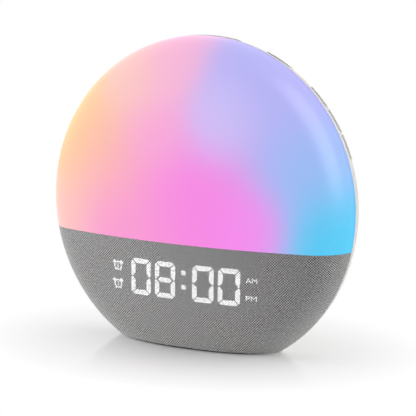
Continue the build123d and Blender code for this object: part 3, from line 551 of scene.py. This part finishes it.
# Cloth stretched over the carrier, from the seam to the base
cloth = {
    "crownSteps": 24,
    "thickness": 0.75 * mm,
    "roll": 0.22 * mm,
    "rollSegments": 2,
    "smoothing": 50,  # degrees
    "pitch": 0.72,  # of the weave, in millimetres
    "light": shade(0.81, 0.81, 0.805),
    "dark": shade(0.10, 0.10, 0.105),
    "roughness": 0.9,
    "sheen": 0.6,
    "bump": (0.8, 0.16 * mm),  # strength and distance
    "flat": (0.222, 0.088),  # size when laid flat, in metres
}
fabricCover = spunFront("fabricCover", cloth["crownSteps"])
cutAway(fabricCover, (0, 0, body["seamHeight"]), (0, 0, 1))
cutAway(fabricCover, (0, 0, body["baseHeight"]), (0, 0, -1))
clothCoordinates(fabricCover)
finishWith(fabricCover, "SOLIDIFY", thickness=cloth["thickness"], offset=-1, use_even_offset=True)


def onClothEdge(point):
    high = abs(point.z - body["seamHeight"]) < modelling["planeSlack"]
    low = abs(point.z - body["baseHeight"]) < modelling["planeSlack"]
    return high or low or onRim(point)


selectEdges(fabricCover, onClothEdge)
bpy.ops.mesh.bevel(offset=cloth["roll"], segments=cloth["rollSegments"], affect="EDGES")
close()
smooth(fabricCover, cloth["smoothing"])
wovenCloth, tree, shader = newMaterial("wovenCloth")
woven = wovenColours(tree, cloth["light"], cloth["dark"])
put(tree, woven["Colour"], shader.inputs["Base Color"])
shader.inputs["Roughness"].default_value = cloth["roughness"]
shader.inputs["Sheen Weight"].default_value = cloth["sheen"]
bump(tree, shader, woven["Height"], *cloth["bump"])
dress(fabricCover, wovenCloth)
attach(fabricCover, "root")
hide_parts("fabric_cover")
print("cloth made")

# Lit marks that shine through the cloth, made as sheets with painted glow laid on it: in millimetres, x and
# z from the rim's centre
marks = {
    "digitMiddles": (-22.1, -6.9, 15.8, 30.7),
    "digitTypes": "0800",
    "digitDrop": 38.4,
    "digitSize": (12.5, 20.1),
    "stroke": 2.72,
    "corner": 1.8,
    "gap": 0.52,
    "tip": 1.0,
    "slant": 3.9,  # degrees
    "colon": ((4.65, -33.3), (4.35, -41.2)),
    "colonSize": 2.6,
    "halfDay": {"AM": (43.3, -33.9, 6.2, 2.7), "PM": (42.8, -43.7, 6.0, 2.7)},  # x, z, width, height
    "letterWeight": 0.001,  # in the letters' own units
    "fineCuts": 2,  # of each edge of the digits, so that they follow the cloth
    "proud": 0.05,
    "thickness": 0.06,
    "darkYarn": {"litThroughCloth": 0.75, "dimThroughCloth": 0.82},  # the light yarn is white
    "paintedGlowInBase": 0.3,
    "glow": 0.95,
    "roughness": 0.9,
    "bump": (0.3, 0.1 * mm),  # strength and distance
}


def bar(name, left, right, low, high, cuts):  # in mm; a plane trimmed by straight cuts
    size = ((right - left) * mm, (high - low) * mm)
    piece = startPlane(name, *size, (left + right) / 2 * mm, (low + high) / 2 * mm)
    for x, z, nx, nz in cuts:
        cutAway(piece, (x * mm, modelling["startDepth"], z * mm), (nx, 0, nz))
    return piece


halfW, halfH = marks["digitSize"][0] / 2, marks["digitSize"][1] / 2
stroke, corner, gap, tip = marks["stroke"], marks["corner"], marks["gap"], marks["tip"]
nudge = gap / 2**0.5
topCuts = []
for side in (-1, 1):
    topCuts.append((side * (halfW - corner), halfH, side, 1))
    topCuts.append((side * (halfW - stroke - nudge), halfH - stroke, side, -1))
topBar = bar("topBar", -halfW, halfW, halfH - stroke, halfH, topCuts)
sideCuts = [
    (-halfW, halfH - corner, -1, 1),
    (-halfW + stroke, halfH - stroke - nudge, 1, 1),
    (-halfW, (gap + tip) / 2, -1, -2),
    (-halfW + tip, gap / 2, 1, -1),
]
sideBar = bar("sideBar", -halfW, -halfW + stroke, gap / 2, halfH, sideCuts)
middleEnd = halfW - tip - 2 * gap
middleCuts = [(side * middleEnd, 0, side, level) for side in (-1, 1) for level in (-1, 1)]
middleBar = bar("middleBar", -middleEnd, middleEnd, -stroke / 2, stroke / 2, middleCuts)
slant = Matrix.Identity(4)
slant[0][2] = sin(radians(marks["slant"]))


def flipped(x, z):
    return Matrix.Diagonal((x, 1, z, 1))


digitParts = []
for middle, kind in zip(marks["digitMiddles"], marks["digitTypes"]):
    home = Matrix.Translation((middle * mm, 0, body["centreHeight"] - marks["digitDrop"] * mm)) @ slant
    digitParts += [copyOf(topBar, home @ flipped(1, level)) for level in (1, -1)]
    digitParts += [copyOf(sideBar, home @ flipped(x, z)) for x in (1, -1) for z in (1, -1)]
    if kind == "8":
        digitParts.append(copyOf(middleBar, home))
for pattern in (topBar, sideBar, middleBar):
    bpy.data.objects.remove(pattern)
dot = marks["colonSize"] / 2
colonDot = bar("colonDot", -dot, dot, -dot, dot, [])
for x, z in marks["colon"]:
    digitParts.append(copyOf(colonDot, Matrix.Translation((x * mm, 0, body["centreHeight"] + z * mm))))
bpy.data.objects.remove(colonDot)


def layOnCloth(piece, fineCuts=0):
    faceFront(piece)
    openAll(piece)
    bpy.ops.mesh.quads_convert_to_tris()
    if fineCuts:
        bpy.ops.mesh.subdivide(number_cuts=fineCuts)
    close()
    finishWith(
        piece,
        "SHRINKWRAP",
        target=fabricCover,
        wrap_method="PROJECT",
        use_project_y=True,
        use_negative_direction=False,
        use_positive_direction=True,
        offset=marks["proud"] * mm,
    )
    clothCoordinates(piece)
    finishWith(piece, "SOLIDIFY", thickness=marks["thickness"] * mm, offset=1)
    openAll(piece)
    bpy.ops.mesh.normals_make_consistent(inside=False)
    close()


litDigits = joinPieces("litDigits", digitParts)
layOnCloth(litDigits, marks["fineCuts"])


def words(name, text, x, z, width, height):
    deselectAll()
    bpy.ops.object.text_add()
    piece = bpy.context.object
    piece.data.body = text
    piece.data.offset = marks["letterWeight"]
    bpy.ops.object.convert(target="MESH")
    piece = bpy.context.object
    piece.name = piece.data.name = name
    spread = [[point.co[axis] for point in piece.data.vertices] for axis in (0, 1)]
    lows, highs = [min(s) for s in spread], [max(s) for s in spread]
    fit = Matrix.Diagonal((width * mm / (highs[0] - lows[0]), height * mm / (highs[1] - lows[1]), 1, 1))
    centred = Matrix.Translation((-(lows[0] + highs[0]) / 2, -(lows[1] + highs[1]) / 2, 0))
    upright = Matrix.Rotation(pi / 2, 4, "X")
    home = Matrix.Translation((x * mm, modelling["startDepth"], body["centreHeight"] + z * mm))
    piece.data.transform(home @ upright @ fit @ centred)
    return piece


halfDay = [words(text.lower(), text, *layout) for text, layout in marks["halfDay"].items()]
halfDayMarks = joinPieces("halfDayMarks", halfDay)
layOnCloth(halfDayMarks)

# Two alarm marks, in millimetres: a ring with a number, bells at its upper corners and two feet
alarm = {
    "places": ((-37.05, -33.9), (-37.7, -44.1)),
    "ring": 2.5,
    "ringSteps": 32,
    "ringStretch": 1.06,  # its width to its height
    "line": 0.72,
    "numbers": ((0.75, 2.3), (1.25, 2.3)),  # width and height
    "bell": (2.55, 2.1, 2.0, 1.3, 38),  # x, z, length, width, lean in degrees
    "foot": (1.7, -2.35, 0.9, 0.6, -50),
}
deselectAll()
bpy.ops.mesh.primitive_circle_add(
    vertices=alarm["ringSteps"],
    radius=alarm["ring"] * mm,
    fill_type="NGON",
    location=(0, modelling["startDepth"], 0),
    rotation=(pi / 2, 0, 0),
)
ring = bpy.context.object
ring.scale = (alarm["ringStretch"], 1, 1)
bpy.ops.object.transform_apply(location=True, rotation=True, scale=True)
openAll(ring)
bpy.ops.mesh.inset(thickness=alarm["line"] * mm)
bpy.ops.mesh.delete(type="FACE")
close()
oneMark = [ring]
for limbName in ("bell", "foot"):
    x, z, length, width, lean = alarm[limbName]
    limb = startPlane(limbName, length * mm, width * mm, 0, 0)
    limb.data.transform(Matrix.Translation((x * mm, 0, z * mm)) @ Matrix.Rotation(radians(lean), 4, "Y"))
    oneMark += [limb, copyOf(limb, flipped(-1, 1))]
oneMark = joinPieces("oneMark", oneMark)
alarmParts = []
for number, ((x, z), size) in enumerate(zip(alarm["places"], alarm["numbers"]), 1):
    alarmParts.append(copyOf(oneMark, Matrix.Translation((x * mm, 0, body["centreHeight"] + z * mm))))
    alarmParts.append(words("number", str(number), x, z, *size))
bpy.data.objects.remove(oneMark)
alarmMarks = joinPieces("alarmMarks", alarmParts)
layOnCloth(alarmMarks)

# The marks' sheets carry painted glow: the weave's colour is given off as light and, at a share, also taken
# as their base colour
litMaterials = {}
for name, tone in marks["darkYarn"].items():
    material, tree, shader = newMaterial(name)
    woven = wovenColours(tree, shade(1, 1, 1), shade(tone, tone, tone))
    put(tree, scaled(tree, woven["Colour"], marks["paintedGlowInBase"]), shader.inputs["Base Color"])
    put(tree, woven["Colour"], shader.inputs["Emission Color"])
    shader.inputs["Emission Strength"].default_value = marks["glow"]
    shader.inputs["Roughness"].default_value = marks["roughness"]
    bump(tree, shader, woven["Height"], *marks["bump"])
    litMaterials[name] = material
for piece, name in (
    (litDigits, "litThroughCloth"),
    (halfDayMarks, "dimThroughCloth"),
    (alarmMarks, "dimThroughCloth"),
):
    dress(piece, litMaterials[name])
    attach(piece, "root")
print("lit marks made")

# Keys: the frame's own caps with every sharp edge rounded off
softening = {
    "flat": 0.6,  # degrees; faces that turn by less become one
    "width": 0.18 * mm,
    "segments": 2,
    "sharp": 40,  # degrees
}


def mergedCopy(name, node):
    piece = bpy.data.objects.new(name, frame["nodes"][node].data.copy())
    piece.data.name = name
    bpy.context.scene.collection.objects.link(piece)
    openAll(piece)
    bpy.ops.mesh.remove_doubles(threshold=modelling["mergeCopied"])
    close()
    return piece


def softenedCopy(name, node):
    piece = mergedCopy(name, node)
    openAll(piece)
    bpy.ops.mesh.dissolve_limited(angle_limit=radians(softening["flat"]))
    close()
    finishWith(
        piece,
        "BEVEL",
        width=softening["width"],
        segments=softening["segments"],
        limit_method="ANGLE",
        angle_limit=radians(softening["sharp"]),
        use_clamp_overlap=False,
    )
    smooth(piece)
    return piece


keyCaps = []
for part in frame["record"]["subparts"]:
    if part["material_slot"] == "key_grey":
        piece = softenedCopy(part["node"] + "Soft", part["node"])
        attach(piece, part["node"])
        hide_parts(part["node"])
        keyCaps.append(piece)
print("keys softened:", len(keyCaps))

# Speaker surround: split at the crown of its roll, as the inner half gives with the cone and the outer half
# stays; only the outer half is attached, to the root
surround = {
    "crown": 16.6 * mm,  # radius
    "still": 29.3 * mm,  # y above which nothing moves
    "moving": 27.45 * mm,  # y below which the lip goes with the cone
    "cutSteps": 96,
    "cutDepth": 20 * mm,  # more than the surround is deep
    "smoothing": 50,  # degrees
}
surroundLow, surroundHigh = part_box("speaker_surround")
speakerMiddle = (surroundLow + surroundHigh) / 2
surroundParts = []
for name, operation in (("surroundInner", "INTERSECT"), ("surroundOuter", "DIFFERENCE")):
    piece = mergedCopy(name, "speaker_surround")
    deselectAll()
    bpy.ops.mesh.primitive_cylinder_add(
        vertices=surround["cutSteps"],
        radius=surround["crown"],
        depth=surround["cutDepth"],
        location=speakerMiddle,
        rotation=(pi / 2, 0, 0),
    )
    core = bpy.context.object
    bpy.ops.object.transform_apply(location=True, rotation=True, scale=True)
    finishWith(piece, "BOOLEAN", operation=operation, solver="EXACT", object=core)
    bpy.data.objects.remove(core)
    smooth(piece, surround["smoothing"])
    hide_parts("speaker_surround")
    surroundParts.append(piece)
surroundInner, surroundOuter = surroundParts
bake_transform(surroundInner)
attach(surroundOuter, "root")
print("surround split")

# Finishes by the record's slots: colour, roughness, metal, grain size, mottle, bump
finishes = {
    "diffuser": ((0.94, 0.80, 0.88), 0.3, 0, 900, 0.03, 0.05),
    "fabric": ((0.5, 0.5, 0.5), 0.9, 0, 900, 0.1, 0.2),
    "housing_white": ((0.93, 0.92, 0.90), 0.42, 0, 1400, 0.03, 0.12),
    "key_grey": ((0.90, 0.90, 0.885), 0.45, 0, 1600, 0.04, 0.06),
    "foot_rubber": ((0.05, 0.05, 0.055), 0.9, 0, 1200, 0.15, 0.3),
    "inner_white": ((0.90, 0.90, 0.89), 0.5, 0, 1200, 0.04, 0.1),
    "clear_plastic": ((0.93, 0.94, 0.95), 0.25, 0, 800, 0.03, 0.05),
    "circuit_board": ((0.10, 0.36, 0.20), 0.4, 0, 500, 0.2, 0.1),
    "lamp_board": ((0.92, 0.92, 0.90), 0.45, 0, 500, 0.05, 0.08),
    "led": ((0.95, 0.90, 0.66), 0.3, 0, 1500, 0.1, 0.05),
    "screw_steel": ((0.66, 0.67, 0.69), 0.32, 1, 2500, 0.15, 0.1),
    "flex_strip": ((0.74, 0.54, 0.28), 0.4, 0, 700, 0.12, 0.05),
    "switch_black": ((0.10, 0.10, 0.11), 0.5, 0, 1500, 0.1, 0.12),
    "capacitor": ((0.72, 0.73, 0.75), 0.35, 1, 1800, 0.1, 0.05),
    "socket_nylon": ((0.90, 0.88, 0.81), 0.5, 0, 1300, 0.05, 0.08),
    "cell_steel": ((0.76, 0.76, 0.77), 0.28, 1, 2200, 0.1, 0.05),
    "contact_brass": ((0.82, 0.68, 0.40), 0.3, 1, 2200, 0.1, 0.05),
    "gasket_foam": ((0.12, 0.12, 0.12), 0.95, 0, 1800, 0.3, 0.5),
    "speaker_steel": ((0.15, 0.15, 0.16), 0.4, 0, 1500, 0.1, 0.1),
    "magnet": ((0.20, 0.20, 0.21), 0.55, 1, 900, 0.2, 0.15),
    "cone_paper": ((0.17, 0.17, 0.18), 0.9, 0, 1600, 0.3, 0.4),
    "lead_jacket": ((0.80, 0.79, 0.76), 0.6, 0, 1300, 0.05, 0.08),
}
grainDepth = 0.03 * mm
finishMaterials = {}
for slotName, (colour, rough, metal, size, mottle, height) in finishes.items():
    material, tree, shader = newMaterial("finish_" + slotName)
    grained = useGroup(
        tree, grain, Colour=shade(*colour), Scale=float(size), Mottle=float(mottle), Roughness=float(rough)
    )
    put(tree, grained["Colour"], shader.inputs["Base Color"])
    put(tree, grained["Roughness"], shader.inputs["Roughness"])
    shader.inputs["Metallic"].default_value = metal
    bump(tree, shader, grained["Height"], height, grainDepth)
    finishMaterials[slotName] = material
for part in frame["record"]["subparts"]:
    dress(frame["nodes"][part["node"]], finishMaterials[part["material_slot"]])
for piece in keyCaps:
    dress(piece, finishMaterials["key_grey"])
for piece in surroundParts:
    dress(piece, finishMaterials["gasket_foam"])
print("finishes given")

# Floor: matt, with a gloss near the clock that fades outwards, and painted white for the camera that grows
# outwards over the floor's shading
ground = {
    "size": 40,
    "drop": 0.02 * mm,  # below the foot, so that the two faces don't meet
    "colour": shade(0.96, 0.96, 0.96),
    "glossRoughness": 0.12,
    "oval": (0.85, 1, 0),  # distances from the clock are measured in an oval on the floor
    "gloss": (0.02, 0.11, 0.38, 0.08),  # nearest and furthest distance, and the gloss at each
    "lift": (0.022, 0.105, 0.03, 1),  # the same for the painted white that the camera sees there
}
deselectAll()
bpy.ops.mesh.primitive_plane_add(size=ground["size"], location=(0, 0, -ground["drop"]))
floor = bpy.context.object
floor.name = "floor"
floorFinish = bpy.data.materials.new("paleFloor")
floorFinish.use_nodes = True
tree = floorFinish.node_tree
tree.nodes.clear()
matt = tree.nodes.new("ShaderNodeBsdfDiffuse")
matt.inputs["Color"].default_value = ground["colour"]
gloss = tree.nodes.new("ShaderNodeBsdfGlossy")
gloss.inputs["Color"].default_value = (1, 1, 1, 1)
gloss.inputs["Roughness"].default_value = ground["glossRoughness"]
plainWhite = tree.nodes.new("ShaderNodeEmission")
rays = tree.nodes.new("ShaderNodeLightPath").outputs
away = vectorCalc(tree, "LENGTH", vectorCalc(tree, "MULTIPLY", objectPlace(tree), ground["oval"]), out=1)
surface = tree.nodes.new("ShaderNodeMixShader")
put(tree, ramp(tree, away, *ground["gloss"]), surface.inputs["Fac"])
tree.links.new(matt.outputs[0], surface.inputs[1])
tree.links.new(gloss.outputs[0], surface.inputs[2])
# painted light: white seen only by the camera covers the floor's shading, little near the clock and fully
# further out
lift = calc(tree, "MULTIPLY", rays["Is Camera Ray"], ramp(tree, away, *ground["lift"]))
lifted = tree.nodes.new("ShaderNodeMixShader")
put(tree, lift, lifted.inputs["Fac"])
tree.links.new(surface.outputs[0], lifted.inputs[1])
tree.links.new(plainWhite.outputs[0], lifted.inputs[2])
tree.links.new(lifted.outputs[0], tree.nodes.new("ShaderNodeOutputMaterial").inputs["Surface"])
dress(floor, floorFinish)

# World: white where it is seen, directly, in gloss or through clear pieces, and elsewhere a faint light
faintLight = 0.2
world = bpy.data.worlds.new("studio")
bpy.context.scene.world = world
world.use_nodes = True
tree = world.node_tree
air = tree.nodes["Background"]
air.inputs["Color"].default_value = (1, 1, 1, 1)
rays = tree.nodes.new("ShaderNodeLightPath").outputs
mirrorOrCamera = calc(tree, "MAXIMUM", rays["Is Camera Ray"], rays["Is Glossy Ray"])
seen = calc(tree, "MAXIMUM", mirrorOrCamera, rays["Is Transmission Ray"])
put(tree, calc(tree, "MULTIPLY_ADD", seen, 1 - faintLight, faintLight), air.inputs["Strength"])

# Lamps: place, width, length, power in watts, whether matt surfaces are lit and glossy ones mirror the lamp
lamps = {
    "leftSoft": ((-1.10, -0.45, 0.30), 0.8, 0.8, 15.2, True, False),
    "topSoft": ((0.0, 0.1, 1.3), 1.0, 1.0, 3.8, True, False),
    "rightFill": ((1.0, 0.50, 0.40), 1.0, 1.0, 7.4, True, False),
    "rightStrip": ((0.85, -0.10, 0.70), 0.75, 1.3, 15.0, False, True),
}
for name, (place, width, length, power, lights, mirrored) in lamps.items():
    lampData = bpy.data.lights.new(name, "AREA")
    lampData.shape = "RECTANGLE"
    lampData.size, lampData.size_y = width, length
    lampData.energy = power
    lamp = bpy.data.objects.new(name, lampData)
    bpy.context.scene.collection.objects.link(lamp)
    lamp.location = place
    lamp.visible_diffuse, lamp.visible_glossy = lights, mirrored
    lamp.rotation_euler = (Vector(place) - rimCentre).to_track_quat("Z", "Y").to_euler()
bpy.context.scene.view_settings.view_transform = "Standard"
print("stage lit")
